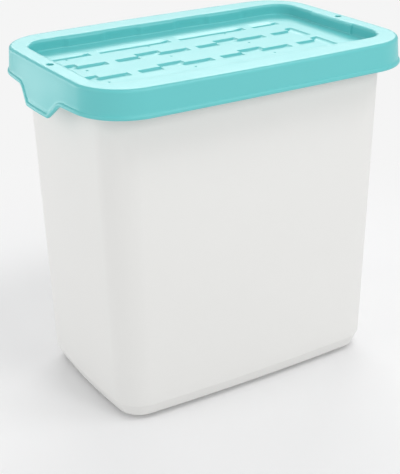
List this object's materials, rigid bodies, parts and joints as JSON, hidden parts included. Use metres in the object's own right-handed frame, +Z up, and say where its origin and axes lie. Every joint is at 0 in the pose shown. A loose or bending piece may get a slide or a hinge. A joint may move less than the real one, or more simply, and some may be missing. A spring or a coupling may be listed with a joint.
{
  "type": "food storage container with snap lid",
  "caption": "Tall tapered storage tub with rounded corners and a snap lid with finger tabs and a sunk, patterned panel.",
  "frame": {"origin": "centre of the foot's underside", "axes": "+Z up, X along the long side, -Y towards the long side that the picture shows"},
  "size_m": [0.264, 0.1718, 0.25],
  "materials": {
    "tub_plastic": "satin",
    "lid_plastic": "satin"
  },
  "bodies": {
    "root": {"tub": "tub_plastic", "lid": "lid_plastic"}
  },
  "joints": []
}
